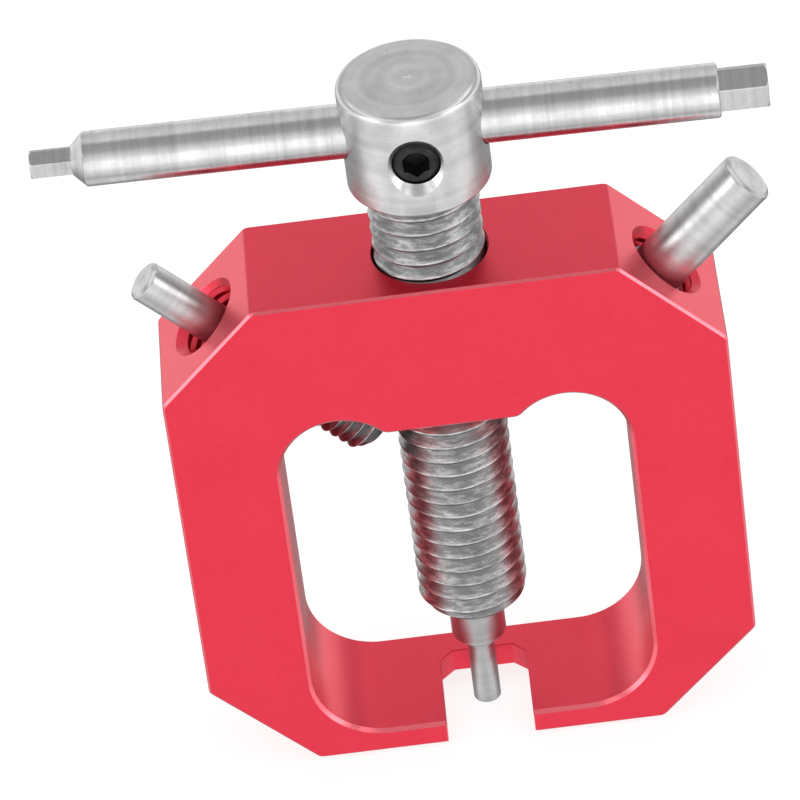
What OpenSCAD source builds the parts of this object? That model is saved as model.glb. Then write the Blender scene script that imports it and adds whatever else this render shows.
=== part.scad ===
// Pinion gear puller. A pressure screw runs down through an octagonal frame and
// drives a stepped push pin towards the slot in the frame's foot. A round T-bar
// through the screw's head turns it and has a hex key on each end. Two spare push
// pins are stored in threaded holes in the frame's upper corners.
// Origin: the screw's axis where it meets the underside of the foot.
// +Z is up along the screw, +X along the frame's width, -Y is the slotted front.

/* [Frame] */
// Width of the frame
frame_w = 40; // [39:0.5:46]
// Height of the frame
frame_h = 40.7; // [40:0.1:43]
// Thickness of the frame from front to back
frame_d = 10.6; // [10.4:0.2:14]
// Leg of the 45 degree cut on each upper corner of the frame
corner = 7.1; // [6:0.1:7.5]
// Leg of the 45 degree cut on each lower corner of the frame
foot_corner = 7.3; // [6:0.1:7.5]

/* [Window and slot] */
// Width of the window
window_w = 25; // [24:0.5:27]
// Radius of the window's lower corners
window_r = 5.2; // [3:0.1:6]
// Radius of the two lobes at the top of the window
lobe_r = 4.35; // [4:0.05:5]
// Height of the lobes' centres above the foot's underside
lobe_z = 26; // [24:0.1:26.5]
// Height of the flat underside of the threaded boss
boss_z = 28.8; // [28:0.1:30]
// Thickness of the foot that the pinion rests on
foot_t = 1.9; // [1.2:0.1:3]
// Width of the slot for the motor shaft
slot_w = 6.4; // [5:0.1:8]
// Distance of the slot's back wall behind the screw's axis
slot_back = 2.9; // [2:0.1:4]
// Leg of the 45 degree corners at the slot's back wall
slot_corner = 1; // [0.5:0.1:1.5]

/* [Pressure screw] */
// Crest diameter of the screw's thread
screw_d = 7.95; // [7.8:0.05:8]
// Pitch of the screw's thread
screw_pitch = 1.25; // [1:0.25:1.25]
// Height of the screw's lower end
screw_end_z = 9.3; // [8:0.1:12]
// Length of the thread below the head
thread_len = 37.5; // [37:0.5:40]
// Diameter of the head
head_d = 10.15; // [9.5:0.05:10.2]
// Height of the head
head_h = 8.4; // [7.5:0.1:9]
// Bevel on the head's top edge
head_bevel = 0.5; // [0.3:0.1:0.8]
// Angle by which the head and bar are turned from the frame's width
handle_turn = -1.5; // [-10:0.5:10]

/* [Handle bar] */
// Diameter of the bar
bar_d = 3.86; // [3.6:0.02:4]
// Height of the bar's axis above the head's underside
bar_rise = 4.55; // [3.8:0.05:4.7]
// Length of the round bar on the small hex side
bar_left = 22.9; // [20:0.1:24]
// Length of the round bar on the large hex side
bar_right = 21.25; // [20:0.05:24]
// Width across flats of the small hex key
hex_small_af = 1.9; // [1.5:0.1:2]
// Length of the small hex key with its cone
hex_small_len = 3.8; // [3:0.1:6]
// Width across flats of the large hex key
hex_large_af = 2.9; // [2.5:0.1:3]
// Length of the large hex key
hex_large_len = 3.4; // [3:0.1:6]

/* [Grub screw] */
// Crest diameter of the grub screw
grub_d = 3.94; // [3.8:0.02:4]
// Distance of the grub screw's outer face from the screw's axis
grub_face = 4.55; // [4.4:0.05:4.8]
// Width across flats of the grub screw's socket
socket_af = 1.8; // [1.8:0.1:2.1]
// Depth of the grub screw's socket
socket_depth = 1.4; // [1:0.1:1.6]

/* [Pins] */
// Crest diameter of the pins' threaded shanks
shank_d = 4.96; // [4.8:0.02:5]
// Pitch of the pins' thread
shank_pitch = 0.8; // [0.8:0.1:0.9]
// Number of thread turns on each pin
shank_turns = 14; // [12:1:14]
// Length of each pin's plain nose
nose_len = 10; // [9:0.1:10.2]
// Diameter of the push pin's tip
tip_d = 2; // [1.5:0.02:2]
// Length of the push pin's tip
tip_len = 5.35; // [4:0.05:5.5]
// Diameter of the push pin's base
base_d = 4; // [3.5:0.05:4]
// Diameter of the small spare pin
small_d = 2.95; // [2.8:0.05:3.2]
// How far the small spare pin stands out of its corner
small_out = 5.45; // [4:0.05:6]
// Diameter of the large spare pin
large_d = 3.97; // [3.8:0.01:4.2]
// How far the large spare pin stands out of its corner
large_out = 8.95; // [8.5:0.05:9]

/* [Hidden] */

$fn = 96;
fit = 0.08;               // radial clearance of every screwed or sliding pair
past = 1;                 // how far a cut runs past the face it opens
bore_lead = 0.26;         // bevel at both mouths of the screw's bore
corner_lead = 0.65;       // countersink at the corner holes' mouths
grub_lead = 0.4;          // countersink at the grub screw's hole
pin_lead = 0.2;           // bevel at the mouth of the push pin's bore
head_relief = 0.35;       // bevel on the head's lower edge
pin_bevel = 0.3;          // bevel on the spare pins' ends
tip_bevel = 0.15;         // bevel on the push pin's tip
shank_bevel = 0.75;       // bevel on the free end of the pins' shanks
nose_seat = 0.45;         // length of the push pin's nose that sits inside the screw
key_bevel = 0.2;          // bevel on the bar's shoulders and key ends
grub_bevel = 0.35;        // bevel on the grub screw's ends
grub_gap = 0.02;          // gap between the grub screw and the bar
crest_flat = 1 / 8;       // thread form, as shares of the pitch
root_flat = 1 / 4;
flank = (1 - crest_flat - root_flat) / 2;
depth_share = 0.613;

head_z = screw_end_z + thread_len;
bar_z = head_z + bar_rise;
grub_z = head_z + head_h / 2;
bar_r = bar_d / 2;
shank_len = shank_turns * shank_pitch;
corner_x = frame_w / 2 - corner / 2;
corner_z = frame_h - corner / 2;
corner_reach = 16;        // deeper than a corner is thick
tip_z = screw_end_z - nose_len + nose_seat;

// Radius of a hexagon's corners from its width across flats
function hex_r(across_flats) = across_flats / sqrt(3);

// Half profile of one groove and one crest, from z upwards
function thread_turn(crest_r, root_r, pitch, z) = [
    [root_r, z],
    [root_r, z + root_flat * pitch],
    [crest_r, z + (root_flat + flank) * pitch],
    [crest_r, z + (root_flat + flank + crest_flat) * pitch]
];

// Threaded rod of whole turns, standing on z = 0. Each turn is a closed ring.
module threaded_rod(d, pitch, turns) {
    crest_r = d / 2;
    root_r = crest_r - depth_share * pitch;
    side = [for (i = [0 : turns - 1]) each thread_turn(crest_r, root_r, pitch, i * pitch)];
    rotate_extrude()
        polygon(concat([[0, 0]], side, [[root_r, turns * pitch], [0, turns * pitch]]));
}

// Round rod standing on z = 0 with a bevelled top edge
module bevelled_rod(d, h, bevel) {
    cylinder(h = h - bevel, d = d);
    translate([0, 0, h - bevel])
        cylinder(h = bevel, d1 = d, d2 = d - 2 * bevel);
}

// Threaded shank of a pin, standing on z = 0, with a bevelled free end at its top
module shank() {
    end_r = shank_d / 2 - shank_bevel;
    intersection() {
        threaded_rod(shank_d, shank_pitch, shank_turns);
        cylinder(h = shank_len, r1 = end_r + shank_len, r2 = end_r);
    }
}

// Cutter for a round hole along +Z that opens at z = 0 through a bevelled mouth
module hole_cutter(r, depth, lead) {
    translate([0, 0, -depth])
        cylinder(h = depth + past, r = r);
    translate([0, 0, -lead])
        cylinder(h = lead + past, r1 = r, r2 = r + lead + past);
}

// Places its children on a corner face: side is -1 or 1, +Z points out of the frame
module at_corner(side) {
    translate([side * corner_x, 0, corner_z])
        rotate([0, side * 45, 0])
            children();
}

// Places its children along the bar's axis: +Z points to the right
module at_bar() {
    rotate([0, 0, handle_turn])
        translate([0, 0, bar_z])
            rotate([0, 90, 0])
                children();
}

// Places its children along the grub screw's axis: +Z points out of the head's front
module at_grub() {
    rotate([0, 0, handle_turn])
        translate([0, 0, grub_z])
            rotate([90, 0, 0])
                children();
}

module frame_outline() {
    x = frame_w / 2;
    polygon([
        [-x, foot_corner], [-x + foot_corner, 0], [x - foot_corner, 0], [x, foot_corner],
        [x, frame_h - corner], [x - corner, frame_h],
        [-x + corner, frame_h], [-x, frame_h - corner]
    ]);
}

module window_outline() {
    x = window_w / 2;
    lobe_x = x - lobe_r;
    low_z = foot_t + window_r;
    translate([-x, low_z])
        square([window_w, lobe_z - low_z]);
    translate([-x + window_r, foot_t])
        square([window_w - 2 * window_r, window_r + past]);
    translate([-lobe_x, lobe_z - past])
        square([2 * lobe_x, boss_z - lobe_z + past]);
    for (side = [-1, 1]) {
        translate([side * (x - window_r), low_z])
            circle(r = window_r);
        translate([side * lobe_x, lobe_z])
            circle(r = lobe_r);
    }
}

module slot_outline() {
    x = slot_w / 2;
    polygon([
        [-x, -frame_d], [x, -frame_d], [x, slot_back - slot_corner],
        [x - slot_corner, slot_back], [-x + slot_corner, slot_back],
        [-x, slot_back - slot_corner]
    ]);
}

module frame() {
    bore_r = screw_d / 2 + fit;
    color("crimson")
        difference() {
            rotate([90, 0, 0])
                linear_extrude(height = frame_d, center = true)
                    difference() {
                        frame_outline();
                        window_outline();
                    }
            translate([0, 0, frame_h])
                hole_cutter(bore_r, frame_h - boss_z + past, bore_lead);
            translate([0, 0, boss_z])
                rotate([180, 0, 0])
                    hole_cutter(bore_r, bore_lead, bore_lead);
            for (side = [-1, 1])
                at_corner(side)
                    hole_cutter(shank_d / 2 + fit, corner_reach, corner_lead);
            translate([0, 0, -past])
                linear_extrude(height = foot_t + 2 * past)
                    slot_outline();
        }
}

module pressure_screw() {
    color("silver")
        difference() {
            union() {
                translate([0, 0, screw_end_z])
                    threaded_rod(screw_d, screw_pitch, thread_len / screw_pitch);
                translate([0, 0, head_z]) {
                    cylinder(h = head_relief, d1 = head_d - 2 * head_relief, d2 = head_d);
                    translate([0, 0, head_relief])
                        bevelled_rod(head_d, head_h - head_relief, head_bevel);
                }
            }
            translate([0, 0, screw_end_z])
                rotate([180, 0, 0])
                    hole_cutter(shank_d / 2 + fit, shank_len + past, pin_lead);
            at_bar()
                cylinder(h = 2 * head_d, r = bar_r + fit, center = true);
            at_grub()
                translate([0, 0, head_d / 2])
                    hole_cutter(grub_d / 2 + fit, head_d / 2, grub_lead);
        }
}

// Hexagonal key along +Z from z = 0, two of its flats square to the screw's axis
module hex_key(across_flats, length) {
    intersection() {
        rotate([0, 0, 90])
            cylinder(h = length, r = hex_r(across_flats), $fn = 6);
        translate([0, 0, -past])
            bevelled_rod(2 * hex_r(across_flats), length + past, key_bevel);
    }
}

module tee_bar() {
    cone_len = bar_r - hex_r(hex_small_af) * 0.95;
    color("gainsboro")
        at_bar() {
            translate([0, 0, -bar_left])
                bevelled_rod(bar_d, bar_left + bar_right, key_bevel);
            hex_key(hex_large_af, bar_right + hex_large_len);
            rotate([0, 180, 0]) {
                translate([0, 0, bar_left])
                    cylinder(h = cone_len, r1 = bar_r, r2 = bar_r - cone_len);
                hex_key(hex_small_af, bar_left + hex_small_len);
            }
        }
}

module grub_screw() {
    inner = bar_r + grub_gap;
    length = grub_face - inner;
    color("dimgray")
        at_grub()
            translate([0, 0, inner])
                difference() {
                    union() {
                        cylinder(h = grub_bevel, d1 = grub_d - 2 * grub_bevel, d2 = grub_d);
                        translate([0, 0, grub_bevel])
                            bevelled_rod(grub_d, length - grub_bevel, grub_bevel);
                    }
                    translate([0, 0, length - socket_depth])
                        rotate([0, 0, 30])
                            cylinder(h = socket_depth + past, r = hex_r(socket_af), $fn = 6);
                }
}

module push_pin() {
    step = (base_d - tip_d) / 2;
    color("darkgray") {
        translate([0, 0, tip_z + tip_len])
            rotate([180, 0, 0])
                bevelled_rod(tip_d, tip_len, tip_bevel);
        translate([0, 0, tip_z + tip_len])
            cylinder(h = step, d1 = tip_d, d2 = base_d);
        translate([0, 0, tip_z + tip_len + step])
            cylinder(h = nose_len - tip_len - step, d = base_d);
        translate([0, 0, tip_z + nose_len])
            shank();
    }
}

// Spare pin in its corner: d is the nose's diameter, out is how far it stands out
module spare_pin(side, d, out) {
    at_corner(side)
        translate([0, 0, out - nose_len]) {
            bevelled_rod(d, nose_len, pin_bevel);
            rotate([180, 0, 0])
                shank();
        }
}

module spare_pin_small() {
    color("lightgray")
        spare_pin(-1, small_d, small_out);
}

module spare_pin_large() {
    color("lightgray")
        spare_pin(1, large_d, large_out);
}

frame();
pressure_screw();
tee_bar();
grub_screw();
push_pin();
spare_pin_small();
spare_pin_large();
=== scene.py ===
"""Looks of the pinion gear puller: machined meshes with true helical threads, procedural
metals, a pale studio and the camera. Lengths are in metres, in the frame of the CAD model."""
import math

import bmesh
import bpy
from mathutils import Matrix, Vector


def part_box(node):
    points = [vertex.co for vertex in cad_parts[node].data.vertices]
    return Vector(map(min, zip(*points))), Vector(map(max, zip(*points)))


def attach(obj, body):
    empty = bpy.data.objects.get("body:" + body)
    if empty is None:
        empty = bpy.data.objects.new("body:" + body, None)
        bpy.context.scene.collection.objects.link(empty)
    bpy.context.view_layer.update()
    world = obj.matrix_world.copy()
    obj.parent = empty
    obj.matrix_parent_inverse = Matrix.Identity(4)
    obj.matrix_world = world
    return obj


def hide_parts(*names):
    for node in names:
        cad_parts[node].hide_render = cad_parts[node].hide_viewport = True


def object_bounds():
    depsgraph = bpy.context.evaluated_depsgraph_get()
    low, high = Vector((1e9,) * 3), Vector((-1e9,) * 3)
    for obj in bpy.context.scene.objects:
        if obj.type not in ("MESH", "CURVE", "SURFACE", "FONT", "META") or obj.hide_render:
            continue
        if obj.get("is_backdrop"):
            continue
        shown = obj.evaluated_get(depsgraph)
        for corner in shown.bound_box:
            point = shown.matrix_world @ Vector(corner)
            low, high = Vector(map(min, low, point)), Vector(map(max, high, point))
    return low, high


MM = 0.001

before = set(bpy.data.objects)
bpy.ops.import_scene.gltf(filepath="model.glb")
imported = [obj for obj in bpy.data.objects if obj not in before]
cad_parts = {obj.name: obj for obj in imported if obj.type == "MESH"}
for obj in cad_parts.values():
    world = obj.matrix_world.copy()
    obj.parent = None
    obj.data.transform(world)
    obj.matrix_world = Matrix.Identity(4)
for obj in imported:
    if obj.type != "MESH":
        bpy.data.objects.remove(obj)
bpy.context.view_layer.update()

# ---------------------------------------------------------------- sizes, from the frame

FRAME_LOW, FRAME_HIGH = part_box("frame")
SCREW_LOW, SCREW_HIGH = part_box("pressure_screw")
PIN_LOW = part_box("push_pin")[0]
BAR_LOW, BAR_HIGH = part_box("tee_bar")

WIDTH = FRAME_HIGH.x - FRAME_LOW.x
HEIGHT = FRAME_HIGH.z
DEPTH = FRAME_HIGH.y - FRAME_LOW.y
HANDLE_TURN = math.radians(-1.5)
BAR_Z = (BAR_LOW.z + BAR_HIGH.z) / 2

CORNER = 7.1 * MM
FOOT_CORNER = 7.3 * MM
WINDOW_W = 25 * MM
WINDOW_R = 5.2 * MM
LOBE_R = 4.35 * MM
LOBE_Z = 26 * MM
BOSS_Z = 28.8 * MM
FOOT_T = 1.9 * MM
SLOT_W = 6.4 * MM
SLOT_BACK = 2.9 * MM
SLOT_CORNER = 1 * MM
FIT = 0.08 * MM

SCREW_R = 3.975 * MM
SCREW_PITCH = 1.25 * MM
THREAD_LEN = 37.5 * MM
HEAD_R = 5.075 * MM
HEAD_Z = SCREW_LOW.z + THREAD_LEN

BAR_R = 1.93 * MM
BAR_LEFT = 22.9 * MM
BAR_RIGHT = 21.25 * MM
KEY_SMALL_AF = 1.9 * MM
KEY_SMALL_LEN = 3.8 * MM
KEY_LARGE_AF = 2.9 * MM
KEY_LARGE_LEN = 3.4 * MM

GRUB_R = 1.68 * MM
GRUB_PITCH = 0.7 * MM
GRUB_INNER = 1.95 * MM
GRUB_OUTER = 4.55 * MM
GRUB_START = 0.6 * MM     # height at which the thread of the screw and of its hole begins
GRUB_GROOVE = 0.08 * MM
SOCKET_AF = 1.8 * MM
SOCKET_DEPTH = 1.4 * MM

SHANK_R = 2.48 * MM
SHANK_PITCH = 0.8 * MM
SHANK_LEN = 11.2 * MM
SHANK_BEVEL = 0.75 * MM
NOSE_LEN = 10 * MM
TIP_R = 1 * MM
TIP_LEN = 5.35 * MM
BASE_R = 2 * MM
SMALL_R = 1.475 * MM
SMALL_OUT = 5.45 * MM
LARGE_R = 1.985 * MM
LARGE_OUT = 8.95 * MM

ROUND = 96                # sides of a turned surface
FINE_ROUND = 128          # sides of the widest ones
PAST = 1 * MM             # how far a cutter runs past the face it opens


# ---------------------------------------------------------------- mesh tools

def mesh_object(name, verts, faces):
    mesh = bpy.data.meshes.new(name)
    mesh.from_pydata(verts, [], faces)
    mesh.update()
    piece = bpy.data.objects.new(name, mesh)
    bpy.context.scene.collection.objects.link(piece)
    return piece


def applied(piece):
    """Replaces a piece's mesh with the result of its modifiers."""
    bpy.context.view_layer.update()
    graph = bpy.context.evaluated_depsgraph_get()
    shape = bpy.data.meshes.new_from_object(piece.evaluated_get(graph))
    piece.modifiers.clear()
    piece.data = shape
    return piece


def combine(piece, other, operation):
    """Adds, cuts or keeps what is common with another closed mesh, which is used up."""
    step = piece.modifiers.new(operation, "BOOLEAN")
    step.operation = operation
    step.solver = "EXACT"
    step.object = other
    applied(piece)
    bpy.data.objects.remove(other)
    return piece


def moved(piece, *matrices):
    for matrix in matrices:
        piece.data.transform(matrix)
    return piece


def cleaned(piece, distance=0.002 * MM):
    """Welds what a boolean leaves doubled, and flattens its many coplanar faces into one."""
    work = bmesh.new()
    work.from_mesh(piece.data)
    bmesh.ops.remove_doubles(work, verts=work.verts, dist=distance)
    bmesh.ops.dissolve_limit(work, angle_limit=math.radians(0.5), verts=work.verts, edges=work.edges)
    work.to_mesh(piece.data)
    work.free()
    return piece


def smoothed(piece, angle=30):
    """Smooth shading with sharp edges over that angle; the larger faces set the normals."""
    piece.data.polygons.foreach_set("use_smooth", [True] * len(piece.data.polygons))
    piece.data.set_sharp_from_angle(angle=math.radians(angle))
    step = piece.modifiers.new("normals", "WEIGHTED_NORMAL")
    step.weight = 100
    step.keep_sharp = True
    return applied(piece)


def lathe(name, profile, sides=ROUND):
    """Closed solid of revolution about Z. The profile runs from the axis at one end to the
    axis at the other, as (radius, height) pairs."""
    verts = [(0, 0, profile[0][1])]
    ring = [(math.cos(math.tau * i / sides), math.sin(math.tau * i / sides)) for i in range(sides)]
    for radius, height in profile[1:-1]:
        verts += [(radius * x, radius * y, height) for x, y in ring]
    verts.append((0, 0, profile[-1][1]))
    last = len(verts) - 1
    rows = len(profile) - 2
    faces = [(0, 1 + (i + 1) % sides, 1 + i) for i in range(sides)]
    for row in range(rows - 1):
        low = 1 + row * sides
        high = low + sides
        faces += [(low + i, low + (i + 1) % sides, high + (i + 1) % sides, high + i)
                  for i in range(sides)]
    top = 1 + (rows - 1) * sides
    faces += [(top + i, top + (i + 1) % sides, last) for i in range(sides)]
    return mesh_object(name, verts, faces)


def rounded_end(radius, height, bevel, rising=True):
    """Points of a quarter round where a rod of that radius ends at that height."""
    steps = 4
    sign = 1 if rising else -1
    points = []
    for step in range(steps + 1):
        turn = math.pi / 2 * step / steps
        inward = bevel * (1 - math.cos(turn))
        back = bevel * (1 - math.sin(turn))
        points.append((radius - inward, height - sign * back))
    return points if rising else points[::-1]


def rod(name, radius, low, high, bevel):
    """Round rod from low to high with rounded edges."""
    profile = [(0, low)]
    profile += rounded_end(radius, low, bevel, rising=False)
    profile += rounded_end(radius, high, bevel)
    profile.append((0, high))
    return lathe(name, profile)


def thread_profile(crest_r, depth):
    """One pitch of a cut thread as (radius, share of the pitch): root, flank, narrow crest
    with its edges broken, and the flank that faces up."""
    root_r = crest_r - depth
    return [
        (root_r, 0.00), (root_r, 0.05), (root_r + 0.08 * depth, 0.10),
        (crest_r - 0.06 * depth, 0.455), (crest_r - 0.01 * depth, 0.475), (crest_r, 0.487),
        (crest_r - 0.012 * depth, 0.505), (crest_r - 0.06 * depth, 0.57),
        (crest_r - 0.14 * depth, 0.605), (root_r + 0.08 * depth, 0.95),
    ]


def helix_solid(name, crest_r, pitch, low, high, depth):
    """Closed right-hand threaded solid that runs past low and high. Its ends are steps of
    the helix, to be cut off square by the blank that it is combined with."""
    sides = 72
    spare_turns = 3
    profile = thread_profile(crest_r, depth)
    per_turn = len(profile)
    turns = math.ceil((high - low) / pitch) + spare_turns
    rows = turns * per_turn
    stride = rows + 1
    verts = []
    for side in range(sides):
        turn = side / sides
        x, y = math.cos(math.tau * turn), math.sin(math.tau * turn)
        for row in range(stride):
            radius, share = profile[row % per_turn]
            z = low + (row // per_turn + share + turn - 2) * pitch
            verts.append((radius * x, radius * y, z))
    axis_low, axis_high = len(verts), len(verts) + 1
    verts += [(0, 0, low - 1.5 * pitch), (0, 0, low + (turns - 1.5) * pitch)]
    faces = []
    for side in range(sides - 1):
        a, b = side * stride, (side + 1) * stride
        faces += [(a + row, b + row, b + row + 1, a + row + 1) for row in range(rows)]
        faces += [(axis_low, b, a), (axis_high, a + rows, b + rows)]
    last = (sides - 1) * stride
    faces += [(last + row, row + per_turn, row + per_turn + 1, last + row + 1)
              for row in range(rows - per_turn)]
    faces.append([axis_low] + list(range(per_turn + 1)) + [last])
    seam = [last + row for row in range(rows, rows - per_turn - 1, -1)]
    faces.append([axis_high] + seam + [rows])
    piece = mesh_object(name, verts, faces)
    shell = bmesh.new()
    shell.from_mesh(piece.data)
    bmesh.ops.recalc_face_normals(shell, faces=shell.faces)
    shell.to_mesh(piece.data)
    shell.free()
    return piece


def threaded(name, crest_r, pitch, low, high, low_bevel, high_bevel, depth):
    """Threaded rod cut off square at low and high, with a lead bevel on each end."""
    blank_r = crest_r + 0.004 * MM
    blank = lathe("blank", [
        (0, low), (blank_r - low_bevel, low), (blank_r, low + low_bevel),
        (blank_r, high - high_bevel), (blank_r - high_bevel, high), (0, high)])
    return combine(helix_solid(name, crest_r, pitch, low, high, depth), blank, "INTERSECT")


def prism(name, outline, low, high):
    """Closed prism along Z over an outline of (x, y) points that runs anticlockwise."""
    count = len(outline)
    verts = [(x, y, low) for x, y in outline] + [(x, y, high) for x, y in outline]
    faces = [tuple(reversed(range(count))), tuple(range(count, 2 * count))]
    faces += [(i, (i + 1) % count, count + (i + 1) % count, count + i) for i in range(count)]
    return mesh_object(name, verts, faces)


def arc(x, y, radius, start, end, step=4):
    """Points along an arc, angles in degrees, both ends included."""
    count = max(1, round(abs(end - start) / step))
    angles = [math.radians(start + (end - start) * i / count) for i in range(count + 1)]
    return [(x + radius * math.cos(a), y + radius * math.sin(a)) for a in angles]


def hexagon(across_flats):
    """A hexagon with two flats square to y."""
    radius = across_flats / math.sqrt(3)
    return [(radius * math.cos(math.tau * i / 6), radius * math.sin(math.tau * i / 6)) for i in range(6)]


def hole_cutter(name, radius, depth, lead):
    """Round cutter down from z = 0, with a bevelled mouth."""
    return lathe(name, [
        (0, -depth), (radius, -depth), (radius, -lead), (radius + lead + PAST, PAST), (0, PAST)])


def mouth_cutter(radius, lead):
    """Countersink that opens at z = 0 and ends inside a threaded hole of that radius."""
    inside = 0.3 * MM
    return lathe("mouth", [
        (0, -lead - inside), (radius - inside, -lead - inside), (radius + lead + PAST, PAST), (0, PAST)])


FROM_FRONT = Matrix.Rotation(math.pi / 2, 4, "X")       # z runs to -y, y runs to z
TO_RIGHT = Matrix.Rotation(math.pi / 2, 4, "Y")         # z runs to x
TO_LEFT = Matrix.Rotation(-math.pi / 2, 4, "Y")         # z runs to -x
HANDLE = Matrix.Rotation(HANDLE_TURN, 4, "Z")
AT_BAR = Matrix.Translation((0, 0, BAR_Z)) @ HANDLE
AT_GRUB = Matrix.Translation((0, 0, (HEAD_Z + SCREW_HIGH.z) / 2)) @ HANDLE @ FROM_FRONT


def at_corner(side):
    """Places z = 0 on a corner's slanted face, +z out of the frame; side is -1 or 1."""
    place = Matrix.Translation((side * (WIDTH - CORNER) / 2, 0, HEIGHT - CORNER / 2))
    return place @ Matrix.Rotation(side * math.pi / 4, 4, "Y")


# ---------------------------------------------------------------- the pieces

def frame_outline():
    x = WIDTH / 2
    return [
        (-x, FOOT_CORNER), (-x + FOOT_CORNER, 0), (x - FOOT_CORNER, 0), (x, FOOT_CORNER),
        (x, HEIGHT - CORNER), (x - CORNER, HEIGHT), (-x + CORNER, HEIGHT), (-x, HEIGHT - CORNER)]


def window_outline():
    """The window's right half, then its mirror image: corner, wall, lobe, and a small
    round where the lobe runs into the boss's flat underside."""
    x = WINDOW_W / 2
    lobe_x = x - LOBE_R
    blend_r = 0.9 * MM
    blend_z = BOSS_Z + blend_r
    reach = LOBE_R + blend_r
    meet = math.acos((blend_z - LOBE_Z) / reach)
    blend_x = lobe_x - reach * math.sin(meet)
    turn = math.degrees(meet)
    half = arc(x - WINDOW_R, FOOT_T + WINDOW_R, WINDOW_R, -90, 0)
    half += arc(lobe_x, LOBE_Z, LOBE_R, 0, 90 + turn)
    half += arc(blend_x, blend_z, blend_r, turn - 90, -90, 12)
    return half + [(-px, pz) for px, pz in reversed(half)]


def slot_outline():
    x = SLOT_W / 2
    return [
        (-x, -DEPTH), (x, -DEPTH), (x, SLOT_BACK - SLOT_CORNER), (x - SLOT_CORNER, SLOT_BACK),
        (-x + SLOT_CORNER, SLOT_BACK), (-x, SLOT_BACK - SLOT_CORNER)]


def cut_edges(piece, width, wanted, segments=1):
    """Bevels the sharp edges that the test picks, by the two ends of each edge."""
    work = bmesh.new()
    work.from_mesh(piece.data)
    sharp = [edge for edge in work.edges if abs(edge.calc_face_angle(0)) > math.radians(20)]
    edges = [edge for edge in sharp if wanted(edge.verts[0].co, edge.verts[1].co)]
    bmesh.ops.bevel(work, geom=edges, offset=width, offset_type="OFFSET", segments=segments, profile=0.5,
                    affect="EDGES", clamp_overlap=False)
    work.to_mesh(piece.data)
    work.free()
    return piece


def on_face(a, b):
    """True for an edge that lies in the frame's front or back face."""
    return abs(abs(a.y) - DEPTH / 2) < 0.01 * MM and abs(a.y - b.y) < 0.01 * MM


def in_window(point):
    inside = WINDOW_W / 2 + 0.01 * MM
    return abs(point.x) < inside and FOOT_T - 0.01 * MM < point.z < BOSS_Z + 2 * MM


def in_slot(point):
    return abs(point.x) < SLOT_W / 2 + 0.01 * MM and point.z < FOOT_T + 0.01 * MM


def mark_chamfers(piece):
    """Gives the second material, a paler red that paints a highlight on them, to the frame's chamfers,
    which face half forwards or back.
    """
    for face in piece.data.polygons:
        slanted = 0.6 < abs(face.normal.y) < 0.8
        reach = max(abs(piece.data.vertices[i].co.y) for i in face.vertices)
        if slanted and reach > DEPTH / 2 - 0.01 * MM:
            face.material_index = 1


def frame_block():
    outer_chamfer, window_chamfer = 0.17 * MM, 0.26 * MM
    slot_edge, corner_round = 0.06 * MM, 0.25 * MM
    bore_lead, corner_lead = 0.14 * MM, 0.6 * MM
    groove = 0.22 * MM
    block = moved(prism("frame_block", frame_outline(), -DEPTH / 2, DEPTH / 2), FROM_FRONT)
    cut_edges(block, corner_round, lambda a, b: abs(a.y - b.y) > DEPTH / 2, segments=3)
    cut_edges(block, outer_chamfer, on_face)
    window = prism("window", window_outline(), -DEPTH, DEPTH)
    combine(block, moved(window, FROM_FRONT), "DIFFERENCE")
    cleaned(block)
    cut_edges(block, window_chamfer, lambda a, b: on_face(a, b) and in_window(a) and in_window(b))
    combine(block, prism("slot", slot_outline(), -PAST, FOOT_T + PAST), "DIFFERENCE")
    cleaned(block)
    cut_edges(block, slot_edge, lambda a, b: in_slot(a) and in_slot(b))
    bore_r = SCREW_R + FIT
    bore = helix_solid("bore", bore_r + groove, SCREW_PITCH, BOSS_Z - PAST, HEIGHT + PAST, groove)
    combine(block, bore, "DIFFERENCE")
    above = Matrix.Translation((0, 0, HEIGHT))
    under = Matrix.Translation((0, 0, BOSS_Z)) @ Matrix.Rotation(math.pi, 4, "X")
    for place in (above, under):
        combine(block, moved(mouth_cutter(bore_r, bore_lead), place), "DIFFERENCE")
    hole_r = SHANK_R + FIT
    reach = 13 * MM
    for side in (-1, 1):
        hole = helix_solid("hole", hole_r + groove, SHANK_PITCH, -reach, PAST, groove)
        combine(block, moved(mouth_cutter(hole_r, corner_lead), at_corner(side)), "DIFFERENCE")
        combine(block, moved(hole, at_corner(side)), "DIFFERENCE")
    return smoothed(cleaned(block))


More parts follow.
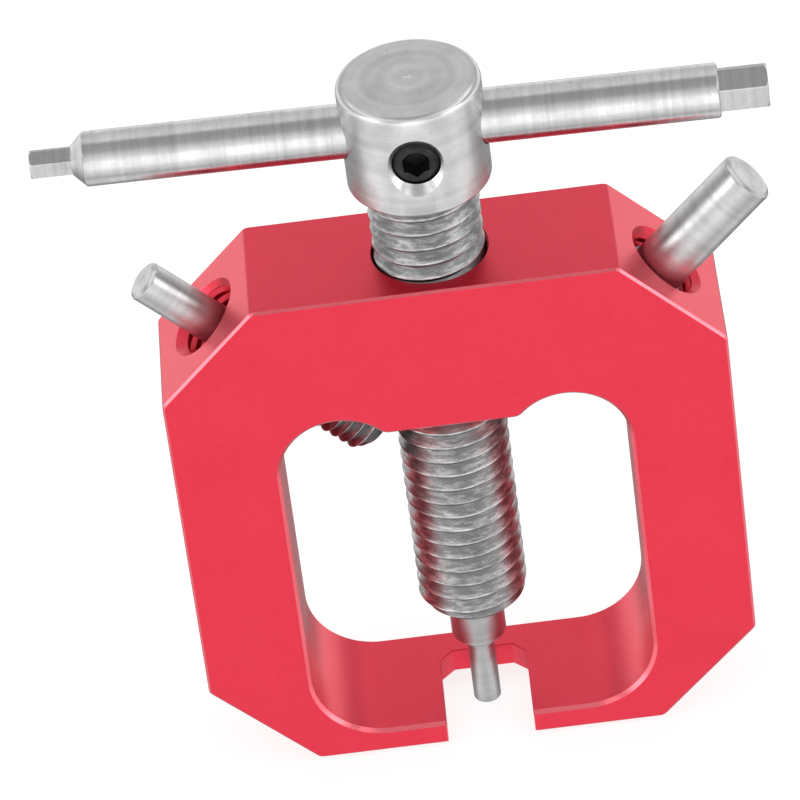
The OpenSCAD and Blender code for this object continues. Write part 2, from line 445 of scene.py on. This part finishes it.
def pressure_screw():
    low_lead = 1.05 * MM
    dimple_r, dimple_depth = 0.3 * MM, 0.16 * MM
    top = SCREW_HIGH.z
    head = lathe("head", [
        (0, HEAD_Z), (HEAD_R - 0.35 * MM, HEAD_Z), (HEAD_R - 0.28 * MM, HEAD_Z + 0.03 * MM),
        (HEAD_R - 0.03 * MM, HEAD_Z + 0.30 * MM), (HEAD_R, HEAD_Z + 0.40 * MM),
        (HEAD_R, top - 0.55 * MM), (HEAD_R - 0.04 * MM, top - 0.38 * MM),
        (HEAD_R - 0.14 * MM, top - 0.20 * MM), (HEAD_R - 0.30 * MM, top - 0.07 * MM),
        (HEAD_R - 0.50 * MM, top - 0.01 * MM), (HEAD_R - 0.7 * MM, top),
        (dimple_r, top), (0, top - dimple_depth)], FINE_ROUND)
    screw = threaded("screw", SCREW_R, SCREW_PITCH, SCREW_LOW.z, HEAD_Z + PAST,
                     low_lead, 0.1 * MM, 0.56 * MM)
    combine(screw, head, "UNION")
    bore = hole_cutter("bore", SHANK_R + FIT, SHANK_LEN + PAST, 0.1 * MM)
    upside_down = Matrix.Translation((0, 0, SCREW_LOW.z)) @ Matrix.Rotation(math.pi, 4, "X")
    combine(screw, moved(bore, upside_down), "DIFFERENCE")
    cross = rod("cross", BAR_R + FIT, -3 * HEAD_R, 3 * HEAD_R, 0.1 * MM)
    combine(screw, moved(cross, TO_RIGHT, AT_BAR), "DIFFERENCE")
    hole_r = GRUB_R + 0.05 * MM
    tapped = helix_solid("tapped", hole_r, GRUB_PITCH, GRUB_START, HEAD_R + PAST, GRUB_GROOVE)
    combine(screw, moved(tapped, AT_GRUB), "DIFFERENCE")
    sink = mouth_cutter(hole_r - GRUB_GROOVE, 0.68 * MM)
    combine(screw, moved(sink, Matrix.Translation((0, 0, HEAD_R)), AT_GRUB), "DIFFERENCE")
    return smoothed(cleaned(screw, 0.001 * MM), 26)


def hex_key(name, across_flats, length):
    """Hexagonal key along z from 0 to length, with eased corners and a bevelled end."""
    radius = across_flats / math.sqrt(3)
    key = prism(name, hexagon(across_flats), 0, length)
    turned = lathe("turned", [
        (0, -PAST), (radius * 0.985, -PAST), (radius * 0.985, length - 0.16 * MM),
        (radius * 0.90, length - 0.03 * MM), (radius * 0.86, length), (0, length)])
    return combine(key, turned, "INTERSECT")


def tee_bar():
    shoulder = 0.18 * MM
    cone_end = KEY_SMALL_AF / math.sqrt(3) * 0.92
    cone_len = BAR_R - cone_end
    blank = lathe("bar", [
        (0, -BAR_LEFT - cone_len), (cone_end, -BAR_LEFT - cone_len),
        (BAR_R - 0.03 * MM, -BAR_LEFT - 0.02 * MM), (BAR_R, -BAR_LEFT + 0.08 * MM),
        (BAR_R, BAR_RIGHT - shoulder), (BAR_R - 0.05 * MM, BAR_RIGHT - 0.06 * MM),
        (BAR_R - shoulder, BAR_RIGHT), (0, BAR_RIGHT)], FINE_ROUND)
    bar = moved(blank, TO_RIGHT)
    combine(bar, moved(hex_key("key", KEY_LARGE_AF, BAR_RIGHT + KEY_LARGE_LEN), TO_RIGHT), "UNION")
    combine(bar, moved(hex_key("key", KEY_SMALL_AF, BAR_LEFT + KEY_SMALL_LEN), TO_LEFT), "UNION")
    return smoothed(cleaned(moved(bar, AT_BAR)), 24)


def grub_screw():
    screw = helix_solid("grub", GRUB_R, GRUB_PITCH, GRUB_START, GRUB_OUTER, GRUB_GROOVE)
    blank_r = GRUB_R + 0.004 * MM
    blank = lathe("blank", [
        (0, GRUB_INNER), (blank_r - 0.55 * MM, GRUB_INNER), (blank_r, GRUB_INNER + 0.5 * MM),
        (blank_r, GRUB_OUTER - 0.32 * MM), (blank_r - 0.32 * MM, GRUB_OUTER), (0, GRUB_OUTER)])
    between_sides = Matrix.Rotation(0.02, 4, "Z")      # keeps the blank's edges off the helix's
    combine(screw, moved(blank, between_sides), "INTERSECT")
    socket = prism("socket", hexagon(SOCKET_AF), GRUB_OUTER - SOCKET_DEPTH, GRUB_OUTER + PAST)
    combine(screw, moved(socket, Matrix.Rotation(math.pi / 6, 4, "Z")), "DIFFERENCE")
    mouth = hole_cutter("mouth", 0.84 * MM, 0.3 * MM, 0.16 * MM)
    combine(screw, moved(mouth, Matrix.Translation((0, 0, GRUB_OUTER))), "DIFFERENCE")
    return smoothed(cleaned(moved(screw, AT_GRUB), 0.001 * MM), 26)


def pin_with_shank(name, nose):
    """A pin along z: its threaded shank ends at 0, where the nose begins."""
    shank = threaded(name, SHANK_R, SHANK_PITCH, -SHANK_LEN, 0, SHANK_BEVEL, 0.3 * MM, 0.42 * MM)
    combine(shank, nose, "UNION")
    return shank


def push_pin():
    step = BASE_R - TIP_R
    base_len = NOSE_LEN - TIP_LEN - step
    nose = [
        (0, -PAST), (BASE_R, -PAST), (BASE_R, base_len - 0.05 * MM),
        (BASE_R - 0.04 * MM, base_len + 0.04 * MM), (TIP_R + 0.06 * MM, base_len + step - 0.05 * MM),
        (TIP_R, base_len + step + 0.08 * MM)]
    nose += rounded_end(TIP_R, NOSE_LEN, 0.15 * MM)
    nose.append((0, NOSE_LEN))
    pin = pin_with_shank("pin", lathe("nose", nose))
    downwards = Matrix.Translation((0, 0, PIN_LOW.z + NOSE_LEN)) @ Matrix.Rotation(math.pi, 4, "X")
    return smoothed(cleaned(moved(pin, downwards), 0.001 * MM), 26)


def spare_pin(side, radius, out):
    bevel = 0.3 * MM
    nose = lathe("nose", [
        (0, -PAST), (radius, -PAST), (radius, NOSE_LEN - bevel),
        (radius - 0.05 * MM, NOSE_LEN - 0.6 * bevel), (radius - bevel, NOSE_LEN - 0.04 * MM),
        (radius - 1.3 * bevel, NOSE_LEN), (0, NOSE_LEN)])
    pin = pin_with_shank("pin", nose)
    stand_out = Matrix.Translation((0, 0, out - NOSE_LEN))
    return smoothed(cleaned(moved(pin, stand_out, at_corner(side)), 0.001 * MM), 26)


def add(piece, name, node, body, material, edge_highlight_material=None):
    piece.name = name
    piece.data.name = name
    piece.data.materials.clear()
    piece.data.materials.append(material)
    if edge_highlight_material:
        piece.data.materials.append(edge_highlight_material)
        mark_chamfers(piece)
    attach(piece, body)
    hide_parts(node)
    return piece


# ---------------------------------------------------------------- materials

def wired(tree, kind, inputs=(), out=0, **settings):
    """Adds a shader node, sets or links its inputs, and gives one of its outputs."""
    node = tree.nodes.new("ShaderNode" + kind)
    for key, value in settings.items():
        setattr(node, key, value)
    for key, value in dict(inputs).items():
        if isinstance(value, bpy.types.NodeSocket):
            tree.links.new(value, node.inputs[key])
        else:
            node.inputs[key].default_value = value
    return node.outputs[out]


def maths(tree, operation, *values):
    return wired(tree, "Math", dict(enumerate(values)), operation=operation)


def between(tree, value, low, high, new_low=0.0, new_high=1.0):
    """Maps low..high to new_low..new_high, held at both ends."""
    return wired(tree, "MapRange", {"Value": value, "From Min": low, "From Max": high,
                                    "To Min": new_low, "To Max": new_high})


def ramp(tree, value, stops):
    """An eased ramp through (position, grey) stops."""
    colour = wired(tree, "ValToRGB", {0: value})
    band = colour.node.color_ramp
    band.interpolation = "EASE"
    while len(band.elements) < len(stops):
        band.elements.new(1.0)
    for element, (position, shade) in zip(band.elements, stops):
        element.position = position
        element.color = (shade, shade, shade, 1)
    return colour


def mixed(tree, share, low, high):
    return wired(tree, "Mix", {0: share, 6: low, 7: high}, out=2, data_type="RGBA")


def noise(tree, vector, size, detail=2.0, roughness=0.5):
    """Noise with features of about that size, in metres."""
    return wired(tree, "TexNoise", {"Vector": vector, "Scale": 1 / size, "Detail": detail,
                                    "Roughness": roughness})


def bump(tree, height, distance, below=None):
    inputs = {"Height": height, "Distance": distance, "Strength": 1.0}
    if below is not None:
        inputs["Normal"] = below
    return wired(tree, "Bump", inputs)


def new_material(name):
    material = bpy.data.materials.new(name)
    material.use_nodes = True
    tree = material.node_tree
    tree.nodes.clear()
    output = tree.nodes.new("ShaderNodeOutputMaterial")
    shader = tree.nodes.new("ShaderNodeBsdfPrincipled")
    tree.links.new(shader.outputs["BSDF"], output.inputs["Surface"])
    return material, tree, shader


def connect(tree, shader, **sockets):
    for name, socket in sockets.items():
        tree.links.new(socket, shader.inputs[name.replace("_", " ")])


def axis_coordinates(tree, place):
    """Distance from a turned piece's axis, place along it and angle round it, in metres."""
    spot = wired(tree, "TexCoord", out=3)
    local = wired(tree, "Mapping", {"Vector": spot, "Location": place.to_translation(),
                                    "Rotation": place.to_euler()}, vector_type="TEXTURE")
    x = wired(tree, "SeparateXYZ", {0: local})
    y, z = x.node.outputs[1], x.node.outputs[2]
    squares = maths(tree, "ADD", maths(tree, "MULTIPLY", x, x), maths(tree, "MULTIPLY", y, y))
    radius = maths(tree, "SQRT", squares)
    angle = maths(tree, "ARCTAN2", y, x)
    return radius, z, angle, spot


FACING_RINGS = [         # how dark a faced end is, from its centre to 5 mm out
    (0, 0.0), (0.05, 0.25), (0.28, 0.10), (0.40, 0.42), (0.78, 0.36), (0.86, 0.10), (1, 0.0)]


def turned_metal(name, place, colour, roughness, mark=0.05 * MM, mark_depth=0.0006 * MM,
                 thread=None, end=None):
    """Bare steel with fine turning marks round the piece's axis, soft smudges, a grain and a
    few dark specks. A thread, given by its top along the axis and its crest radius, is painted
    darker, with painted shade deepest in its grooves, and gets streaky grime. The end face at that
    height has the rings of a facing cut."""
    material, tree, shader = new_material(name)
    radius, along, angle, spot = axis_coordinates(tree, place)
    drift = maths(tree, "MULTIPLY", angle, 0.02 * MM)
    rings = wired(tree, "CombineXYZ", {0: radius, 1: along, 2: drift})
    fine = noise(tree, rings, mark, 3.0, 0.65)
    wide = noise(tree, rings, 14 * mark, 3.0, 0.6)
    smudge = noise(tree, spot, 2.2 * MM, 4.0, 0.6)
    grain = noise(tree, spot, 0.07 * MM, 3.0, 0.6)
    specks = noise(tree, spot, 0.42 * MM, 2.0, 0.4)
    tone = maths(tree, "MULTIPLY", smudge, 0.7)
    tone = maths(tree, "ADD", tone, maths(tree, "MULTIPLY", wide, 0.7))
    tone = maths(tree, "ADD", tone, maths(tree, "MULTIPLY", grain, 0.35))
    tone = between(tree, tone, 0.72, 1.10, 0.0, 0.42)
    tone = maths(tree, "MAXIMUM", tone, between(tree, specks, 0.75, 0.81, 0.0, 0.8))
    rough = between(tree, fine, 0.3, 0.7, roughness - 0.04, roughness + 0.04)
    rough = maths(tree, "ADD", rough, between(tree, smudge, 0.3, 0.7, -0.05, 0.06))
    height = maths(tree, "ADD", fine, maths(tree, "MULTIPLY", wide, 2.5))
    height = maths(tree, "ADD", height, grain)
    if thread is not None:
        top, crest_r = thread
        on_thread = between(tree, along, top - 0.05 * MM, top + 0.05 * MM, 1.0, 0.0)
        around = maths(tree, "MULTIPLY", angle, 0.9 * MM)
        drawn_out = wired(tree, "CombineXYZ", {0: radius, 1: along, 2: around})
        streaks = noise(tree, drawn_out, 0.30 * MM, 6.0, 0.72)
        # painted shade: the thread is painted darker overall and darkest towards the groove roots; the
        # streaks on top are grime
        groove_shade_and_grime = maths(tree, "ADD", between(tree, radius, 0.82 * crest_r, 0.985 * crest_r, 1.05, 0.40),
                      between(tree, streaks, 0.40, 0.60, -0.32, 0.46))
        tone = maths(tree, "ADD", tone, maths(tree, "MULTIPLY", on_thread, groove_shade_and_grime))
        rough = maths(tree, "ADD", rough, maths(tree, "MULTIPLY", on_thread, 0.05))
        dents = maths(tree, "MULTIPLY", on_thread, streaks)
        height = maths(tree, "ADD", height, maths(tree, "MULTIPLY", dents, 9.0))
    if end is not None:
        ring = ramp(tree, between(tree, radius, 0, 5 * MM), FACING_RINGS)
        faced = between(tree, along, end - 0.03 * MM, end - 0.01 * MM)
        shown = maths(tree, "MULTIPLY", faced, maths(tree, "MULTIPLY", ring, 0.35))
        tone = maths(tree, "ADD", tone, shown)
    dark = tuple(0.34 * c for c in colour)
    connect(tree, shader, Base_Color=mixed(tree, tone, (*colour, 1), (*dark, 1)), Roughness=rough,
            Normal=bump(tree, height, mark_depth))
    shader.inputs["Metallic"].default_value = 1.0
    return material


def anodised(name, colour, pale, coat, base_roughness):
    """Dyed anodised aluminium: fine grain under a thin clear oxide, with the faint tracks of
    the cutter along every face that runs from front to back."""
    material, tree, shader = new_material(name)
    spot = wired(tree, "TexCoord", out=3)
    grain = noise(tree, spot, 0.09 * MM, 3.0, 0.6)
    coarse = noise(tree, spot, 0.30 * MM, 2.0)
    cloud = noise(tree, spot, 5 * MM, 3.0, 0.55)
    stretched = wired(tree, "Mapping", {"Vector": spot, "Scale": (0.05, 1.0, 0.05)})
    tracks = noise(tree, stretched, 0.22 * MM, 3.0, 0.6)
    tone = maths(tree, "ADD", between(tree, cloud, 0.3, 0.7, 0.0, 0.22),
                 between(tree, grain, 0.3, 0.7, 0.0, 0.2))
    tone = maths(tree, "ADD", tone, between(tree, coarse, 0.35, 0.7, 0.0, 0.2))
    connect(tree, shader, Base_Color=mixed(tree, tone, (*colour, 1), (*pale, 1)))
    rough = between(tree, coarse, 0.3, 0.7, base_roughness - 0.03, base_roughness + 0.03)
    rough = maths(tree, "ADD", rough, between(tree, cloud, 0.3, 0.7, -0.02, 0.03))
    rough = maths(tree, "ADD", rough, between(tree, tracks, 0.3, 0.7, -0.04, 0.04))
    connect(tree, shader, Roughness=rough)
    shader.inputs["Metallic"].default_value = 0.85
    shader.inputs["Coat Weight"].default_value = coat
    shader.inputs["Coat Roughness"].default_value = 0.28
    shader.inputs["Coat IOR"].default_value = 1.5
    relief = bump(tree, grain, 0.005 * MM)
    relief = bump(tree, tracks, 0.007 * MM, below=relief)
    connect(tree, shader, Normal=bump(tree, coarse, 0.005 * MM, below=relief))
    return material


def black_oxide(name):
    material, tree, shader = new_material(name)
    spot = wired(tree, "TexCoord", out=3)
    grain = noise(tree, spot, 0.06 * MM, 3.0, 0.6)
    patch = noise(tree, spot, 0.8 * MM, 2.0)
    tone = between(tree, patch, 0.35, 0.7)
    colour = mixed(tree, tone, (0.014, 0.014, 0.016, 1), (0.035, 0.033, 0.034, 1))
    connect(tree, shader, Base_Color=colour)
    connect(tree, shader, Roughness=between(tree, grain, 0.3, 0.7, 0.30, 0.44))
    shader.inputs["Metallic"].default_value = 0.6
    connect(tree, shader, Normal=bump(tree, grain, 0.0015 * MM))
    return material


# ---------------------------------------------------------------- the studio

PITCH_LIGHT = [          # light from the front round over the top to the back, by angle in degrees
    (-180, 1.15), (-150, 0.60), (-120, 0.55), (-100, 1.05), (-76, 0.95), (-64, 0.85), (-58, 0.40),
    (-52, 0.75), (-36, 1.00), (-24, 1.15), (-14, 1.60), (14, 1.65), (25, 1.15), (44, 0.80), (58, 0.46),
    (95, 0.40), (104, 1.00), (125, 0.85), (150, 0.74), (166, 0.9), (180, 1.15)]
SIDE_LIGHT = [           # light from the sides, by height: -1 is straight down
    (-1.0, 0.6), (-0.7, 0.60), (-0.52, 0.70), (-0.40, 1.1), (-0.1, 1.2), (0.12, 1.2), (0.35, 0.45),
    (0.54, 0.36), (0.60, 1.10), (0.66, 1.90), (0.72, 1.35), (0.80, 0.90), (0.88, 0.75), (1.0, 0.40)]
LOW_LIGHT = [            # light from low round the sides, by angle from the front
    (0, 1.05), (22, 0.98), (31, 1.00), (37, 1.05), (44, 0.85), (50, 0.85), (60, 1.10), (86, 1.10),
    (98, 0.62), (180, 0.4)]
LOW_BACK_LIGHT = (0.36, 0.36, 0.36, 1)
CORNER_BOX = Vector((0.874, -0.412, 0.257)).normalized()
CORNER_LIGHT = (3.0, 3.0, 3.0, 1)


def studio_world():
    """Soft studio surroundings for the metal to reflect, and plain pale white for the camera."""
    world = bpy.data.worlds.new("studio")
    bpy.context.scene.world = world
    world.use_nodes = True
    tree = world.node_tree
    tree.nodes.clear()
    output = tree.nodes.new("ShaderNodeOutputWorld")
    x = wired(tree, "SeparateXYZ", {0: wired(tree, "TexCoord", out=0)})
    y, z = x.node.outputs[1], x.node.outputs[2]
    aside = maths(tree, "ABSOLUTE", x)
    pitch = maths(tree, "ARCTAN2", z, maths(tree, "MULTIPLY", y, -1.0))
    bands = ramp(tree, between(tree, pitch, -math.pi, math.pi),
                 [((angle + 180) / 360, shade) for angle, shade in PITCH_LIGHT])
    sides = ramp(tree, between(tree, z, -1.0, 1.0),
                 [((height + 1) / 2, shade) for height, shade in SIDE_LIGHT])
    round_angle = maths(tree, "ARCTAN2", aside, maths(tree, "MULTIPLY", y, -1.0))
    low = ramp(tree, between(tree, round_angle, 0, math.pi),
               [(angle / 180, shade) for angle, shade in LOW_LIGHT])
    sides = mixed(tree, between(tree, z, -0.44, -0.34), low, sides)
    light = mixed(tree, between(tree, aside, 0.22, 0.42), bands, sides)
    low_back = maths(tree, "MULTIPLY", between(tree, y, 0.02, 0.30), between(tree, z, -0.18, -0.42))
    light = mixed(tree, low_back, light, LOW_BACK_LIGHT)
    mirrored = wired(tree, "CombineXYZ", {0: aside, 1: y, 2: z})
    facing = wired(tree, "VectorMath", {0: mirrored, 1: CORNER_BOX},
                   out="Value", operation="DOT_PRODUCT")
    light = mixed(tree, between(tree, facing, 0.955, 0.985), light, CORNER_LIGHT)
    unseen = wired(tree, "Background", {"Color": light, "Strength": 1.0})
    seen = wired(tree, "Background", {"Color": (1, 1, 1, 1), "Strength": 1.0})
    is_camera = wired(tree, "LightPath", out=0)
    shown = wired(tree, "MixShader", {0: is_camera, 1: unseen, 2: seen})
    tree.links.new(shown, output.inputs["Surface"])


def soft_box(name, place, target, size, power):
    light = bpy.data.lights.new(name, "AREA")
    light.shape = "RECTANGLE"
    light.size, light.size_y = size
    light.energy = power
    lamp = bpy.data.objects.new(name, light)
    lamp.location = place
    lamp.rotation_euler = (Vector(target) - Vector(place)).to_track_quat("-Z", "Y").to_euler()
    lamp.visible_camera = False
    lamp.visible_glossy = False
    bpy.context.scene.collection.objects.link(lamp)
    return lamp


def floor_disc(height):
    radius, sides = 2.5, 96
    angles = [math.tau * i / sides for i in range(sides)]
    ring = [(radius * math.cos(a), radius * math.sin(a), height) for a in angles]
    floor = mesh_object("floor", ring, [tuple(range(sides))])
    material, tree, shader = new_material("pale_floor")
    spot = wired(tree, "TexCoord", out=3)
    tone = between(tree, noise(tree, spot, 40 * MM, 3.0), 0.3, 0.7)
    connect(tree, shader, Base_Color=mixed(tree, tone, (0.29, 0.29, 0.29, 1), (0.31, 0.31, 0.31, 1)))
    shader.inputs["Roughness"].default_value = 0.7
    shader.inputs["Specular IOR Level"].default_value = 0.2
    shader.inputs["Emission Color"].default_value = (1, 1, 1, 1)
    shader.inputs["Emission Strength"].default_value = 0.80
    floor.data.materials.append(material)
    floor.visible_glossy = False
    floor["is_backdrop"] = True


def camera():
    target = Vector((-3.487, 0.0, 27.742)) * MM
    elevation, azimuth = math.radians(36.874), math.radians(-1.260)
    distance = 455.35 * MM
    level = math.cos(elevation)
    back = Vector((-math.sin(azimuth) * level, -math.cos(azimuth) * level, math.sin(elevation)))
    data = bpy.data.cameras.new("camera")
    data.lens = 287.1
    data.sensor_width = 36
    data.clip_start, data.clip_end = 0.01, 50
    eye = bpy.data.objects.new("camera", data)
    eye.rotation_mode = "QUATERNION"
    eye.location = target + back * distance
    roll = Matrix.Rotation(math.radians(-7.786), 3, "Z").to_quaternion()
    eye.rotation_quaternion = (-back).to_track_quat("-Z", "Y") @ roll
    bpy.context.scene.collection.objects.link(eye)
    bpy.context.scene.camera = eye


# ---------------------------------------------------------------- the scene

STEEL = (0.72, 0.72, 0.725)
BAR_STEEL = (0.68, 0.68, 0.685)
PIN_STEEL = (0.60, 0.60, 0.605)
UPRIGHT = Matrix.Identity(4)

camera()
studio_world()
floor_disc(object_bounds()[0].z)
soft_box("key", (-0.25, -0.80, 0.55), (0, 0, 0.02), (0.6, 0.4), 0.5)
soft_box("fill", (0.75, -0.20, 0.70), (0, 0, 0.02), (0.4, 0.6), 0.3)
bpy.context.scene.view_settings.view_transform = "Standard"

red = anodised("anodised_red", (0.79, 0.014, 0.048), (0.86, 0.038, 0.078), 0.55, 0.37)
# the chamfers' paler pink is a painted highlight, standing in for a bright softbox reflection on them
red_edge_highlight = anodised("anodised_red_edge", (0.90, 0.13, 0.17), (0.92, 0.18, 0.22), 0.6, 0.24)
turned = turned_metal("turned_steel", UPRIGHT, STEEL, 0.30, thread=(HEAD_Z, SCREW_R), end=SCREW_HIGH.z)
ground = turned_metal("ground_steel", AT_BAR @ TO_RIGHT, BAR_STEEL, 0.24,
                      mark=0.03 * MM, mark_depth=0.0003 * MM)
pin_steel = turned_metal("pin_steel", UPRIGHT, PIN_STEEL, 0.38)
pin_left = turned_metal("pin_steel_left", at_corner(-1), PIN_STEEL, 0.33, mark_depth=0.0003 * MM,
                        thread=(SMALL_OUT - NOSE_LEN, SHANK_R))
pin_right = turned_metal("pin_steel_right", at_corner(1), PIN_STEEL, 0.33, mark_depth=0.0003 * MM,
                         thread=(LARGE_OUT - NOSE_LEN, SHANK_R))
black = black_oxide("black_oxide")

add(frame_block(), "frame_block", "frame", "frame", red, red_edge_highlight)
add(pressure_screw(), "screw_with_head", "pressure_screw", "screw", turned)
add(tee_bar(), "handle_bar", "tee_bar", "handle", ground)
add(grub_screw(), "set_screw", "grub_screw", "clamp_screw", black)
add(push_pin(), "stepped_pin", "push_pin", "pin_in_use", pin_steel)
add(spare_pin(-1, SMALL_R, SMALL_OUT), "stored_pin_small", "spare_pin_small", "spare_small",
    pin_left)
add(spare_pin(1, LARGE_R, LARGE_OUT), "stored_pin_large", "spare_pin_large", "spare_large",
    pin_right)
